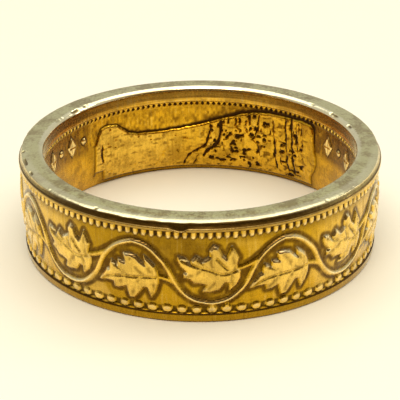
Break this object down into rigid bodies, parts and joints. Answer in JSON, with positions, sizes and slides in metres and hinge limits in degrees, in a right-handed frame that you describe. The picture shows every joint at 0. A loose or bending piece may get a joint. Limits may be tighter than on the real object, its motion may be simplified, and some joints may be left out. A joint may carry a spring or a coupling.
{
  "type": "coin ring",
  "caption": "Finger ring folded from a bronze coin, a barrel-shaped band with a raised wavy vine, lobed leaves, beads and denticles outside, and low relief inside.",
  "frame": {"origin": "middle of the ring, on the surface that it lies on", "axes": "+Z along the finger hole's axis, up; -Y is the side that faces the viewer"},
  "size_m": [0.0212, 0.0212, 0.006],
  "materials": {
    "bronze": "worn satin bronze with dark patina in the relief"
  },
  "bodies": {
    "root": {"ring_band": "bronze"}
  },
  "joints": []
}
